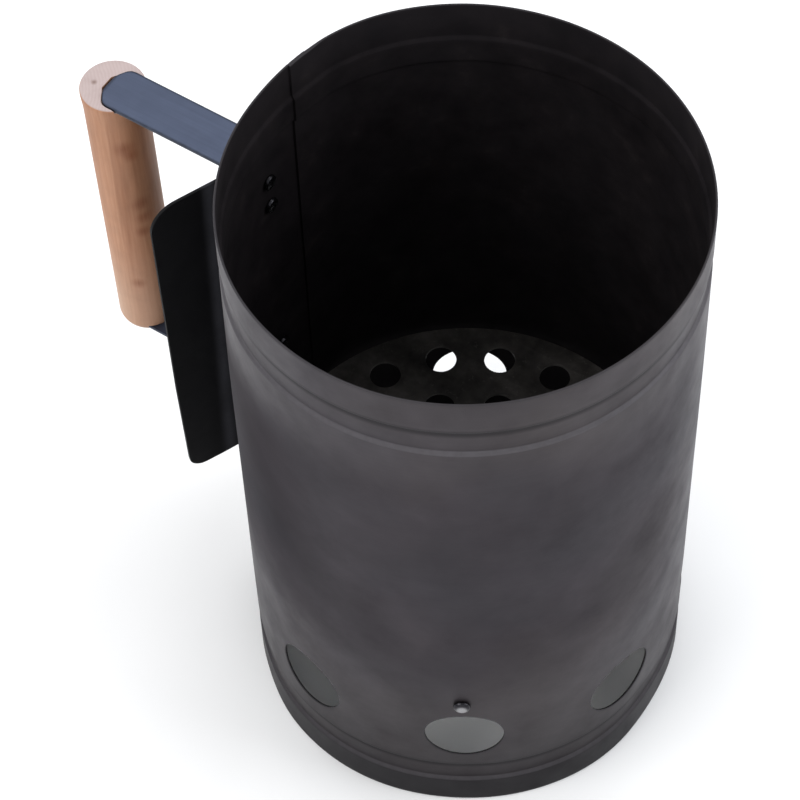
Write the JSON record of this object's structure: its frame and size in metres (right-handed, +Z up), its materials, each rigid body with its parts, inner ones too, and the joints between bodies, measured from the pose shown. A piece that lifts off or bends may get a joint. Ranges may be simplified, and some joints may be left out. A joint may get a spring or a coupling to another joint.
{
  "type": "chimney charcoal starter",
  "caption": "Open sheet-steel cylinder with a punched grate and air vents near its foot, for lighting charcoal, carried by a wooden side grip behind a folded heat shield.",
  "frame": {"origin": "centre of the whole object's footprint, on the ground that the chimney stands on", "axes": "+Z up along the chimney; -X towards the wooden grip; the chimney's own axis is vertical, 37.3 mm from the origin along +X"},
  "size_m": [0.2396, 0.165, 0.27],
  "materials": {
    "body_steel": "dark grey rolled sheet steel, satin, mottled, heat-stained towards the foot",
    "grate_steel": "punched sheet steel, dull and sooty",
    "rivet_steel": "plain steel rivet, domed head, slightly worn",
    "arm_steel": "flat steel bar, blue-grey, satin",
    "shield_paint": "black heat-proof paint on sheet steel, satin",
    "dark_rivet": "dark steel rivet",
    "grip_wood": "turned beech, unvarnished, fine straight grain with a few darker streaks"
  },
  "bodies": {
    "root": {"body_shell": "body_steel", "grate": "grate_steel", "grate_rivet_1": "rivet_steel", "grate_rivet_2": "rivet_steel", "grate_rivet_3": "rivet_steel", "upper_arm": "arm_steel", "lower_arm": "arm_steel", "upper_arm_rivet_1": "rivet_steel", "upper_arm_rivet_2": "rivet_steel", "lower_arm_rivet_1": "rivet_steel", "lower_arm_rivet_2": "rivet_steel", "heat_shield": "shield_paint", "shield_rivet_upper": "dark_rivet", "shield_rivet_lower": "dark_rivet", "wooden_grip": "grip_wood"}
  },
  "joints": []
}
